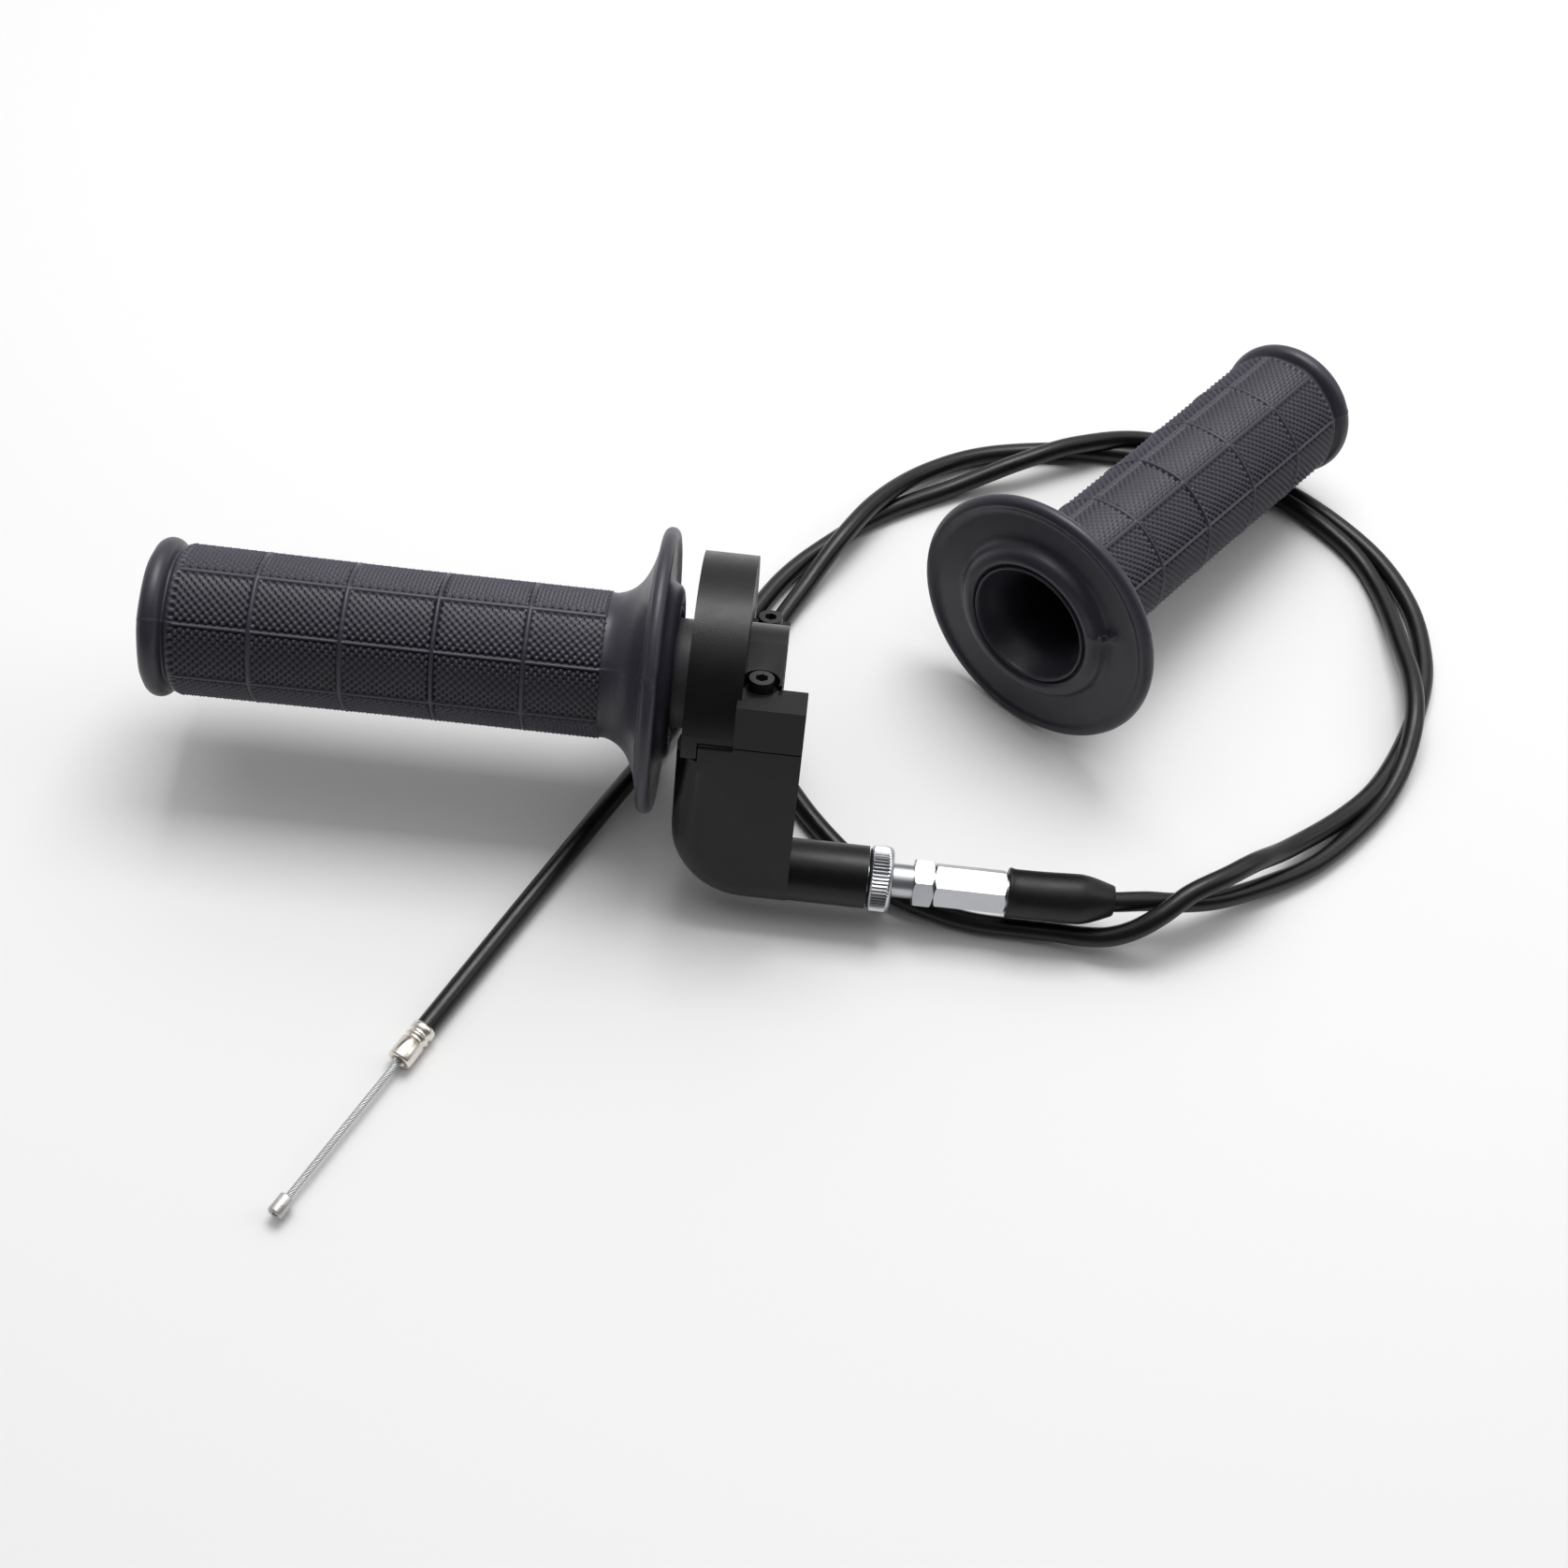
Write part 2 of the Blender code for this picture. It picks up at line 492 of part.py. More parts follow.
def make_adjuster(parent, axis_frames):
    """The threaded barrel, knurled ring, lock nut, hexagonal sleeve, cable end cap and rubber boot."""
    zinc = {part: material(f"{part}_zinc", (0.72, 0.73, 0.75), 0.22, 1.0)
            for part in ("adjuster_barrel", "knurled_ring", "lock_nut", "hex_adjuster", "sheath_top_cap")}
    ring_solid("adjuster_barrel", *BARREL_X, BARREL_R, BARREL_BORE_R, zinc["adjuster_barrel"], parent)
    ring_solid("knurled_ring", *RING_X, RING_R, THREAD_BORE_R, zinc["knurled_ring"],
               axis_frames["knurled_ring"], 40, 0.5 * MM)
    nut = hex_solid("lock_nut", *LOCK_NUT_X, LOCK_NUT_FLAT, LOCK_NUT_TURN, axis_frames["lock_nut"])
    combine(nut, rod(LOCK_NUT_X[0] - MM, LOCK_NUT_X[1] + MM, THREAD_BORE_R, 32), "DIFFERENCE")
    finish_shading(nut, zinc["lock_nut"])
    sleeve = hex_solid("hex_adjuster", *HEX_X, HEX_FLAT, HEX_TURN, axis_frames["hex_adjuster"])
    combine(sleeve, rod(HEX_X[1] - MM, SPIGOT_END, SPIGOT_R, 32), "UNION")
    combine(sleeve, rod(HEX_X[0] - MM, BARREL_X[1] + GAP, THREAD_BORE_R, 32), "DIFFERENCE")
    combine(sleeve, rod(BARREL_X[1] - MM, SPIGOT_END + MM, SHEATH_CAP_R + GAP, 32), "DIFFERENCE")
    finish_shading(sleeve, zinc["hex_adjuster"])
    ring_solid("sheath_top_cap", *SHEATH_CAP_X, SHEATH_CAP_R, BARREL_BORE_R, zinc["sheath_top_cap"],
               axis_frames["cable_end"], 24)
    rubber = material("boot_rubber", (0.020, 0.020, 0.022), 0.55)
    outline = [(BOOT_X[0], SPIGOT_R + GAP), (BOOT_X[0], BOOT_R - 0.3 * MM), (BOOT_X[0] + 0.4 * MM, BOOT_R),
               (BOOT_X[1] - 8.5 * MM, BOOT_R), (BOOT_X[1] - 4.5 * MM, BOOT_R - 0.7 * MM),
               (BOOT_X[1] - 1.5 * MM, BOOT_R - 1.8 * MM), (BOOT_X[1], BOOT_TIP_R),
               (BOOT_X[1], BOOT_TIP_BORE_R), (BOOT_X[1] - 6 * MM, BOOT_TIP_BORE_R),
               (SHEATH_START - 2 * MM, BOOT_TIP_BORE_R), (SHEATH_START - 2 * MM, SPIGOT_R + GAP)]
    bm = turned(outline, 32)
    for vert in bm.verts:
        share = max(0.0, vert.co.x - BOOT_SAG_FROM) / (BOOT_X[1] - BOOT_SAG_FROM)
        vert.co += BOOT_SAG * share ** 2
    add_object("cable_boot", bm, rubber, axis_frames["cable_end"])


def make_wire_lead(parent):
    """The wire inside the housing: off the drum, down, round the elbow and out through the barrel."""
    steel = material("inner_wire_steel", (0.45, 0.45, 0.46), 0.4, 1.0)
    start = NIPPLE_ANGLE - (NIPPLE_R + 2 * GAP) / PITCH_R
    points = [Vector((GROOVE_X, -PITCH_R * math.cos(a), PITCH_R * math.sin(a))) for a in (start, start / 2)]
    points.append(Vector((GROOVE_X, OUTLET_Y, 0.0)))
    corner = arc(GROOVE_X + WIRE_BEND, OUTLET_Z + WIRE_BEND, WIRE_BEND, 180, 270, 8)
    points += [Vector((x, OUTLET_Y, z)) for x, z in corner]
    points.append(Vector((SHEATH_CAP_X[0] + 5 * MM, OUTLET_Y, OUTLET_Z)))
    cord_tube("inner_wire_lead", points, WIRE_R, 2, steel, parent)


def along(direction):
    """Rotation that turns +X to the given level direction."""
    return Matrix.Rotation(math.atan2(direction.y, direction.x), 4, "Z")


def make_cable(floor_frame, wire_frame):
    black = material("cable_sheath_plastic", (0.015, 0.015, 0.017), 0.38)
    points = [Vector(p) * MM for p in CABLE_ROUTE]
    housing_turn = Matrix.Rotation(-HOUSING_PITCH, 3, "X")
    outlet = housing_turn @ Vector((0, OUTLET_Y, OUTLET_Z)) + Vector((0, 0, BAR_POINT.z))
    points.insert(0, Vector((SHEATH_START, outlet.y, outlet.z)))
    points += [TAIL_START - TAIL_DIRECTION * GAP]
    cord_tube("cable_sheath", smooth_curve(points, SHEATH_POINTS), SHEATH_R, 2, black, floor_frame)

    tail = Matrix.Translation(TAIL_START) @ along(TAIL_DIRECTION)
    end = SHEATH_END_LENGTH
    sleeve = material("cable_sheath_end_plastic", (0.015, 0.015, 0.017), 0.38)
    add_object("cable_sheath_end", turned(tube_profile(0, end, SHEATH_R, SHEATH_BORE_R), 20), sleeve,
               floor_frame, tail)
    nickel = material("cable_ferrule_nickel", (0.62, 0.58, 0.52), 0.32, 1.0)
    mouth = end - FERRULE_OVERLAP
    outline = [(mouth, SHEATH_R + GAP / 2), (mouth, FERRULE_R), (mouth + FERRULE_LENGTH, FERRULE_R),
               (mouth + FERRULE_LENGTH, SHEATH_BORE_R), (end + GAP, SHEATH_BORE_R),
               (end + GAP, SHEATH_R + GAP / 2)]
    add_object("cable_ferrule", turned(outline, 24), nickel, floor_frame, tail)
    steel = material("wire_tail_steel", (0.42, 0.42, 0.43), 0.42, 1.0)
    out = mouth + FERRULE_LENGTH + BARE_WIRE
    add_object("wire_tail", rod(end - 4 * MM, out + 3.4 * MM, WIRE_R, 10), steel, wire_frame)
    nipple = material("wire_end_nipple_metal", (0.55, 0.55, 0.55), 0.4, 1.0)
    ring_solid("wire_end_nipple", out, out + END_NIPPLE_LENGTH, END_NIPPLE_R, WIRE_R + GAP, nipple,
               wire_frame, 20)


for old in list(bpy.data.objects):
    bpy.data.objects.remove(old, do_unlink=True)

floor_frame = empty("floor_frame", (BAR_POINT.x, BAR_POINT.y, 0.0))
bar_frame = empty("bar_frame", BAR_POINT)
bar_frame.rotation_euler.x = -HOUSING_PITCH
throttle_frame = empty("throttle_frame", (0, 0, 0), bar_frame)
outlet_axes = {name: empty(f"{name}_axis", (0, OUTLET_Y, OUTLET_Z), bar_frame)
               for name in ("adjuster", "knurled_ring", "lock_nut", "hex_adjuster", "cable_end")}
wire_frame = empty("wire_frame", (0, 0, 0), floor_frame)
wire_frame.matrix_local = Matrix.Translation(TAIL_START) @ along(TAIL_DIRECTION)

# The left grip lies on its flange, with its outer end on the cable.
left_height = (FLANGE_R - RIM_HALF) * math.cos(LEFT_TILT) + RIM_HALF
left_frame = empty("left_frame", (0, 0, 0), floor_frame)
left_frame.matrix_local = (Matrix.Translation((*LEFT_FLANGE_FLOOR, left_height))
                           @ Matrix.Rotation(LEFT_YAW + math.pi, 4, "Z")
                           @ Matrix.Rotation(-LEFT_TILT, 4, "Y"))

make_right_grip(throttle_frame)
make_throttle_tube(throttle_frame)
make_drum_nipple(throttle_frame)
make_housing(bar_frame)
make_clamp_screws(bar_frame)
make_adjuster(outlet_axes["adjuster"], outlet_axes)
make_wire_lead(bar_frame)
make_cable(floor_frame, wire_frame)
make_left_grip(left_frame)
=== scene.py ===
"""Looks of the throttle grip set: a twist throttle with its cable, and the matching left grip."""
import math

import bmesh
import bpy
from mathutils import Matrix, Vector, noise


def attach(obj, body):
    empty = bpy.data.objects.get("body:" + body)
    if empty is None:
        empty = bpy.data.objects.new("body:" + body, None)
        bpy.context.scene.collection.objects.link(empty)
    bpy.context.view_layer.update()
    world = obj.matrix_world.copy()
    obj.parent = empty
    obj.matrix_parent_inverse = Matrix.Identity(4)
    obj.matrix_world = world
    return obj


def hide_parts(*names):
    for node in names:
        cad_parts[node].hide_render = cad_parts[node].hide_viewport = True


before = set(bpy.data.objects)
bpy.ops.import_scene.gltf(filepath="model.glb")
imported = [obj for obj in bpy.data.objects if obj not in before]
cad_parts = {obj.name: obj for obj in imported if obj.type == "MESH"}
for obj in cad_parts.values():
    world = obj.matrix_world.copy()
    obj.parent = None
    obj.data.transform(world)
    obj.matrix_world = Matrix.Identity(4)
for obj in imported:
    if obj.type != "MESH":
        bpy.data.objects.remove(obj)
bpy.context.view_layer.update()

MM = 0.001

# ---------------------------------------------------------------- camera, first of all
CAMERA_TARGET = Vector((5.0, -72.2, 32.5)) * MM
CAMERA_DISTANCE = 540.4 * MM
CAMERA_AZIMUTH = math.radians(0.2)
CAMERA_ELEVATION = math.radians(54.09)
CAMERA_ROLL = math.radians(6.1)
CAMERA_LENS = 54.33
SENSOR_WIDTH = 36.0


def make_camera():
    back = Vector((math.sin(CAMERA_AZIMUTH) * math.cos(CAMERA_ELEVATION),
                   -math.cos(CAMERA_AZIMUTH) * math.cos(CAMERA_ELEVATION), math.sin(CAMERA_ELEVATION)))
    level = Vector((math.cos(CAMERA_AZIMUTH), math.sin(CAMERA_AZIMUTH), 0.0))
    up = back.cross(level)
    right = level * math.cos(CAMERA_ROLL) + up * math.sin(CAMERA_ROLL)
    camera = bpy.data.objects.new("camera", bpy.data.cameras.new("camera"))
    turn = Matrix((right, back.cross(right), back)).transposed().to_4x4()
    camera.matrix_world = Matrix.Translation(CAMERA_TARGET + back * CAMERA_DISTANCE) @ turn
    camera.data.lens = CAMERA_LENS
    camera.data.sensor_width = SENSOR_WIDTH
    camera.data.clip_start = 10 * MM
    bpy.context.scene.collection.objects.link(camera)
    bpy.context.scene.camera = camera


make_camera()

# ---------------------------------------------------------------- where things are, as in the CAD
BAR_HEIGHT = 40.5                  # in mm
BAR_POINT = Vector((-26.6, -49.7, BAR_HEIGHT)) * MM
HOUSING_PITCH = math.radians(18.0)
OUTLET_Y = -22.0 * MM
OUTLET_Z = -36.4 * MM
LEFT_FLANGE_FLOOR = Vector((88.1, 34.9)) * MM
LEFT_YAW = math.radians(54.2)
LEFT_TILT = math.radians(5.6)
FLANGE_R = 33.25 * MM
RIM_HALF = 1.75 * MM
TAIL_START = BAR_POINT + Vector((-27.5, -48.3, 3.0 - BAR_HEIGHT)) * MM
TAIL_DIRECTION = Vector((-0.436, -0.900, 0.0)).normalized()

floor_place = Matrix.Translation((BAR_POINT.x, BAR_POINT.y, 0.0))
bar_place = Matrix.Translation(BAR_POINT)
housing_place = bar_place @ Matrix.Rotation(-HOUSING_PITCH, 4, "X")
outlet_place = housing_place @ Matrix.Translation((0, OUTLET_Y, OUTLET_Z))
tail_place = Matrix.Translation(TAIL_START) @ Matrix.Rotation(
    math.atan2(TAIL_DIRECTION.y, TAIL_DIRECTION.x), 4, "Z")
left_height = (FLANGE_R - RIM_HALF) * math.cos(LEFT_TILT) + RIM_HALF
left_place = (floor_place @ Matrix.Translation((*LEFT_FLANGE_FLOOR, left_height))
              @ Matrix.Rotation(LEFT_YAW + math.pi, 4, "Z") @ Matrix.Rotation(-LEFT_TILT, 4, "Y"))


# ---------------------------------------------------------------- materials
def texture(tree, kind, **values):
    node = tree.nodes.new(kind)
    for name, value in values.items():
        if name in node.inputs:
            node.inputs[name].default_value = value
        else:
            setattr(node, name, value)
    return node


def principled(name, colour, roughness, metallic=0.0, specular=0.5):
    mat = bpy.data.materials.new(name)
    mat.use_nodes = True
    shader = mat.node_tree.nodes["Principled BSDF"]
    shader.inputs["Base Color"].default_value = (*colour, 1.0)
    shader.inputs["Roughness"].default_value = roughness
    shader.inputs["Metallic"].default_value = metallic
    shader.inputs["Specular IOR Level"].default_value = specular
    return mat, mat.node_tree, shader


def colour_patches(tree, shader, place, scale, low, high):
    """Base colour that drifts between two shades in soft patches."""
    patches = texture(tree, "ShaderNodeTexNoise", Scale=scale, Detail=4.0, Roughness=0.6)
    mix = texture(tree, "ShaderNodeMix", data_type="RGBA")
    mix.inputs[6].default_value = (*low, 1.0)
    mix.inputs[7].default_value = (*high, 1.0)
    tree.links.new(place.outputs["Object"], patches.inputs["Vector"])
    tree.links.new(patches.outputs["Fac"], mix.inputs[0])
    tree.links.new(mix.outputs[2], shader.inputs["Base Color"])


def rough_patches(tree, shader, place, scale, low, high):
    patches = texture(tree, "ShaderNodeTexNoise", Scale=scale, Detail=5.0, Roughness=0.65)
    spread = texture(tree, "ShaderNodeMapRange")
    spread.inputs["From Min"].default_value = 0.3
    spread.inputs["From Max"].default_value = 0.7
    spread.inputs["To Min"].default_value = low
    spread.inputs["To Max"].default_value = high
    tree.links.new(place.outputs["Object"], patches.inputs["Vector"])
    tree.links.new(patches.outputs["Fac"], spread.inputs["Value"])
    tree.links.new(spread.outputs["Result"], shader.inputs["Roughness"])


def grain(tree, shader, place, scale, depth, stretch=(1.0, 1.0, 1.0), detail=3.0):
    """Fine relief from noise, stretched along an axis for drawn or turned surfaces."""
    mapping = texture(tree, "ShaderNodeMapping")
    mapping.inputs["Scale"].default_value = stretch
    fine = texture(tree, "ShaderNodeTexNoise", Scale=scale, Detail=detail, Roughness=0.6)
    bump = texture(tree, "ShaderNodeBump", Strength=1.0, Distance=depth)
    tree.links.new(place.outputs["Object"], mapping.inputs["Vector"])
    tree.links.new(mapping.outputs["Vector"], fine.inputs["Vector"])
    tree.links.new(fine.outputs["Fac"], bump.inputs["Height"])
    tree.links.new(bump.outputs["Normal"], shader.inputs["Normal"])


def surface(name, colours, roughness, grain_scale, grain_depth, metallic=0.0, specular=0.5,
            stretch=(1.0, 1.0, 1.0), patch_scale=60.0):
    """A procedural material: two drifting shades, drifting roughness and a fine grain."""
    mat, tree, shader = principled(name, colours[0], sum(roughness) / 2, metallic, specular)
    place = tree.nodes.new("ShaderNodeTexCoord")
    colour_patches(tree, shader, place, patch_scale, *colours)
    rough_patches(tree, shader, place, patch_scale * 3.1, *roughness)
    grain(tree, shader, place, grain_scale, grain_depth, stretch)
    return mat


def paint_relief_shade(mat, low, high, top):
    """Paints shade and highlight into the base colour: multiplies it by the mesh's relief attribute, so
    painted shade darkens the pits and a painted highlight lightens the raised net.
    """
    tree, shader = mat.node_tree, mat.node_tree.nodes["Principled BSDF"]
    colour = shader.inputs["Base Color"].links[0].from_socket
    relief = texture(tree, "ShaderNodeAttribute", attribute_name="relief")
    spread = texture(tree, "ShaderNodeMapRange")
    spread.inputs["From Min"].default_value = 0.05
    spread.inputs["From Max"].default_value = top
    spread.inputs["To Min"].default_value = low
    spread.inputs["To Max"].default_value = high
    scaled = texture(tree, "ShaderNodeVectorMath", operation="SCALE")
    tree.links.new(relief.outputs["Fac"], spread.inputs["Value"])
    tree.links.new(colour, scaled.inputs[0])
    tree.links.new(spread.outputs["Result"], scaled.inputs["Scale"])
    tree.links.new(scaled.outputs["Vector"], shader.inputs["Base Color"])


grip_rubber = surface("grip_rubber", ((0.0155, 0.0150, 0.0225), (0.0250, 0.0238, 0.0345)), (0.32, 0.42),
                      2600.0, 0.00004, specular=0.42)
# Painted shade in the waffle's pits and moats, and a painted highlight on its raised net, from the mesh's
# relief attribute.
paint_relief_shade(grip_rubber, 0.02, 3.1, 0.95)
tube_plastic = surface("tube_plastic", ((0.055, 0.055, 0.060), (0.075, 0.075, 0.080)), (0.38, 0.5),
                       1800.0, 0.00002)
housing_plastic = surface("housing_plastic",
                          ((0.0035, 0.0034, 0.0042), (0.0055, 0.0052, 0.0062)), (0.27, 0.36),
                          3200.0, 0.00004, specular=0.26)
screw_steel = surface("screw_steel", ((0.035, 0.034, 0.036), (0.07, 0.068, 0.07)), (0.3, 0.5),
                      1500.0, 0.00003, metallic=0.8)
zinc = surface("bright_zinc", ((0.44, 0.45, 0.48), (0.55, 0.56, 0.58)), (0.28, 0.36),
               1400.0, 0.00001, metallic=1.0, stretch=(6.0, 1.0, 1.0))
knurled_zinc = surface("knurled_zinc", ((0.50, 0.51, 0.54), (0.62, 0.63, 0.65)), (0.24, 0.34),
                       1400.0, 0.00001, metallic=1.0)
# Painted shade in the knurl's valleys, full colour on its crests, from the mesh's relief attribute.
paint_relief_shade(knurled_zinc, 0.15, 1.0, 0.7)
boot_rubber = surface("boot_rubber", ((0.004, 0.004, 0.005), (0.007, 0.007, 0.0085)), (0.34, 0.46),
                      1500.0, 0.00003, specular=0.28)
cable_plastic = surface("cable_plastic", ((0.004, 0.004, 0.0045), (0.007, 0.0065, 0.0075)), (0.26, 0.38),
                        900.0, 0.00003, specular=0.32)
nickel = surface("ferrule_nickel", ((0.72, 0.67, 0.60), (0.84, 0.80, 0.73)), (0.2, 0.36),
                 1300.0, 0.00002, metallic=1.0)
wire_steel = surface("wire_steel", ((0.36, 0.36, 0.37), (0.55, 0.55, 0.56)), (0.3, 0.45),
                     2000.0, 0.00001, metallic=1.0)
nipple_metal = surface("nipple_metal", ((0.46, 0.45, 0.44), (0.62, 0.61, 0.60)), (0.32, 0.5),
                       1800.0, 0.00005, metallic=1.0)
nut_zinc = surface("nut_zinc", ((0.55, 0.55, 0.54), (0.66, 0.66, 0.64)), (0.3, 0.45),
                   1500.0, 0.00002, metallic=1.0)


# ---------------------------------------------------------------- mesh helpers
SPLIT_LEAN = 0.05 * MM              # a face's diagonals differ by more than this at a peak or pit
SAME_POINT = 0.002 * MM
FLAT_ANGLE = math.radians(0.6)


def add_piece(name, mesh, mat, body, place=None, replaces=(), smooth_angle=35.0):
    mesh.materials.clear()
    mesh.materials.append(mat)
    mesh.shade_smooth()
    mesh.set_sharp_from_angle(angle=math.radians(smooth_angle))
    piece = bpy.data.objects.new(name, mesh)
    bpy.context.scene.collection.objects.link(piece)
    if place is not None:
        mesh.transform(place)
    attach(piece, body)
    if replaces:
        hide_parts(*replaces)
    return piece


def mesh_from(name, bm):
    bmesh.ops.recalc_face_normals(bm, faces=bm.faces)
    mesh = bpy.data.meshes.new(name)
    bm.to_mesh(mesh)
    bm.free()
    return mesh


def lathe(name, rings, angles, radius_at=None, shift_at=None, relief=False):
    """A closed body about X. rings is a closed loop of (x, radius); radius_at and shift_at add detail.

    With relief, a face is split along the diagonal that runs through its peak or pit.
    """
    verts = []
    for x, r in rings:
        for angle in angles:
            radius = radius_at(x, r, angle) if radius_at else r
            along = shift_at(x, r, angle) if shift_at else 0.0
            verts.append((x + along, radius * math.cos(angle), radius * math.sin(angle)))
    count, faces = len(angles), []
    reach = [math.hypot(y, z) for _, y, z in verts]
    for i in range(len(rings)):
        near, far = i * count, ((i + 1) % len(rings)) * count
        for j in range(count):
            k = (j + 1) % count
            a, b, c, d = near + j, near + k, far + k, far + j
            lean = abs(reach[a] - reach[c]) - abs(reach[b] - reach[d])
            if not relief or abs(lean) <= SPLIT_LEAN:
                faces.append((a, b, c, d))
            elif lean > 0:
                faces += [(a, b, c), (a, c, d)]
            else:
                faces += [(a, b, d), (b, c, d)]
    mesh = bpy.data.meshes.new(name)
    mesh.from_pydata(verts, [], faces)
    bm = bmesh.new()
    bm.from_mesh(mesh)
    bpy.data.meshes.remove(mesh)
    return mesh_from(name, bm)


def even_angles(count):
    return [math.tau * i / count for i in range(count)]


def arc(cx, cy, radius, start_deg, end_deg, steps):
    """Outline points (x, radius) on an arc about (cx, cy)."""
    return [(cx + radius * math.cos(a), cy + radius * math.sin(a))
            for a in (math.radians(start_deg + (end_deg - start_deg) * i / steps) for i in range(steps + 1))]


def through(points, steps):
    """A finer outline on the Catmull-Rom curve through (x, radius) points."""
    fine = []
    for i in range(len(points) - 1):
        a, b = points[max(i - 1, 0)], points[i]
        c, d = points[i + 1], points[min(i + 2, len(points) - 1)]
        for s in range(steps):
            t = s / steps
            fine.append(tuple(0.5 * (2 * q + (r - p) * t + (2 * p - 5 * q + 4 * r - w) * t * t
                                     + (3 * q - p - 3 * r + w) * t ** 3)
                              for p, q, r, w in zip(a, b, c, d)))
    fine.append(points[-1])
    return fine


def refined_copy(node, mat, body, width, segments=2, angle=32.0):
    """A CAD node's own shape with its edges rounded, standing for the node."""
    bm = bmesh.new()
    bm.from_mesh(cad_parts[node].data)
    bmesh.ops.remove_doubles(bm, verts=bm.verts, dist=SAME_POINT)
    bmesh.ops.dissolve_limit(bm, angle_limit=FLAT_ANGLE, verts=bm.verts, edges=bm.edges)
    name = node + "_finish"
    piece = add_piece(name, mesh_from(name, bm), mat, body, None, [node])
    bevel = piece.modifiers.new("edge_round", "BEVEL")
    bevel.width = width
    bevel.segments = segments
    bevel.limit_method = "ANGLE"
    bevel.angle_limit = math.radians(angle)
    bevel.miter_outer = "MITER_ARC"
    bevel.harden_normals = False
    return piece


# ---------------------------------------------------------------- the cable
SHEATH_R = 2.4 * MM
SHEATH_START = 97.8 * MM
SHEATH_END_LENGTH = 40.0 * MM
FERRULE_LENGTH = 10.1 * MM
FERRULE_R = 2.9 * MM
FERRULE_OVERLAP = 5.7 * MM
BARE_WIRE = 39.3 * MM
WIRE_R = 0.75 * MM
WIRE_HIDDEN = 4.0 * MM             # inside the sheath
WIRE_IN_NIPPLE = 3.4 * MM
STRANDS = 8
STRAND_PITCH = 9.0 * MM
END_NIPPLE_R = 1.8 * MM
END_NIPPLE_LENGTH = 4.8 * MM
FERRULE_OUT = SHEATH_END_LENGTH - FERRULE_OVERLAP + FERRULE_LENGTH

# The route on the floor from the boot to the straight tail, in mm from the flange's floor point
CABLE_ROUTE = (
    (104.5, -31.8, 12.55), (111, -31.1, 12.0), (119, -28.9, 10.6), (127, -26.9, 8.5), (137, -23.0, 6.0),
    (149, -16.0, 3.8), (161, -7.8, 2.6), (171, 2.3, 2.55), (179, 13.0, 2.7), (184.5, 24.5, 4.4),
    (187.3, 36.5, 7.4), (187.6, 48.0, 7.9), (186.0, 61.0, 6.2), (182.0, 83.0, 2.9), (174.5, 97.5, 2.55),
    (159.0, 111.4, 2.55), (140.0, 119.4, 2.55), (119.0, 122.6, 2.55), (98.0, 121.6, 2.55),
    (76.0, 116.6, 2.6), (60.0, 106.6, 3.8), (48.4, 92.0, 7.2), (40.0, 77.6, 7.6), (31.5, 62.0, 3.9),
    (24.5, 46.0, 2.55), (22.0, 27.0, 2.55), (27.0, 8.5, 2.55), (37.5, -8.2, 2.55), (50.8, -22.3, 2.55),
    (60.5, -29.4, 2.55), (71.2, -33.2, 2.55), (80.0, -34.9, 2.6), (90.2, -35.3, 2.9), (98.6, -35.8, 3.6),
    (105.0, -36.9, 4.9), (111.0, -37.4, 6.8), (116.8, -36.3, 9.5), (122.4, -33.4, 12.5),
    (128.7, -28.3, 14.8), (137.3, -22.4, 15.0), (144.4, -16.2, 13.2),
    (154.0, -7.0, 7.4), (168.0, 6.2, 3.6), (178.0, 17.8, 2.6), (185.5, 32.0, 2.55),
    (191.0, 48.0, 2.55), (192.6, 62.0, 2.55), (190.0, 79.0, 2.55), (181.0, 96.0, 2.55),
    (164.0, 112.0, 2.55), (143.5, 123.4, 2.55), (120.5, 128.0, 3.6), (101.0, 119.6, 7.7),
    (86.0, 111.5, 7.4), (68.0, 103.0, 3.0), (50.5, 92.0, 2.55), (36.5, 78.6, 2.55), (25.0, 64.0, 2.55),
    (15.5, 44.0, 2.6), (6.0, 21.0, 3.4), (-2.1, 2.4, 3.9), (-11.9, -17.0, 3.6),
)


def smooth_curve(points, steps):
    """Points on the Catmull-Rom curve through the given points."""
    dense = []
    for i in range(len(points) - 1):
        before = points[i - 1] if i else points[0] * 2 - points[1]
        start, end = points[i], points[i + 1]
        after = points[i + 2] if i + 2 < len(points) else points[-1] * 2 - points[-2]
        for step in range(steps):
            t = step / steps
            dense.append(0.5 * (2 * start + (end - before) * t
                                + (2 * before - 5 * start + 4 * end - after) * t ** 2
                                + (3 * start - before - 3 * end + after) * t ** 3))
    dense.append(points[-1])
    return dense


def make_cable():
    outlet = outlet_place.translation
    origin = floor_place.translation
    points = [Vector((BAR_POINT.x + SHEATH_START, outlet.y, outlet.z))]
    points += [origin + Vector(p) * MM for p in CABLE_ROUTE]
    points += [TAIL_START - TAIL_DIRECTION * 0.3 * MM]
    dense = smooth_curve(points, 8)
    dense += [TAIL_START + TAIL_DIRECTION * SHEATH_END_LENGTH * s / 8 for s in range(1, 9)]
    curve = bpy.data.curves.new("cable", "CURVE")
    curve.dimensions = "3D"
    curve.bevel_depth = SHEATH_R
    curve.bevel_resolution = 6
    curve.use_fill_caps = True
    spline = curve.splines.new("POLY")
    spline.points.add(len(dense) - 1)
    for slot, point in zip(spline.points, dense):
        slot.co = (*point, 1.0)
    spline.use_smooth = True
    curve.materials.append(cable_plastic)
    cable = bpy.data.objects.new("cable", curve)
    bpy.context.scene.collection.objects.link(cable)
    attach(cable, "housing_set")
    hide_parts("cable_sheath", "cable_sheath_end")
    length = sum((b - a).length for a, b in zip(dense, dense[1:]))
    return cable, dense[0], length


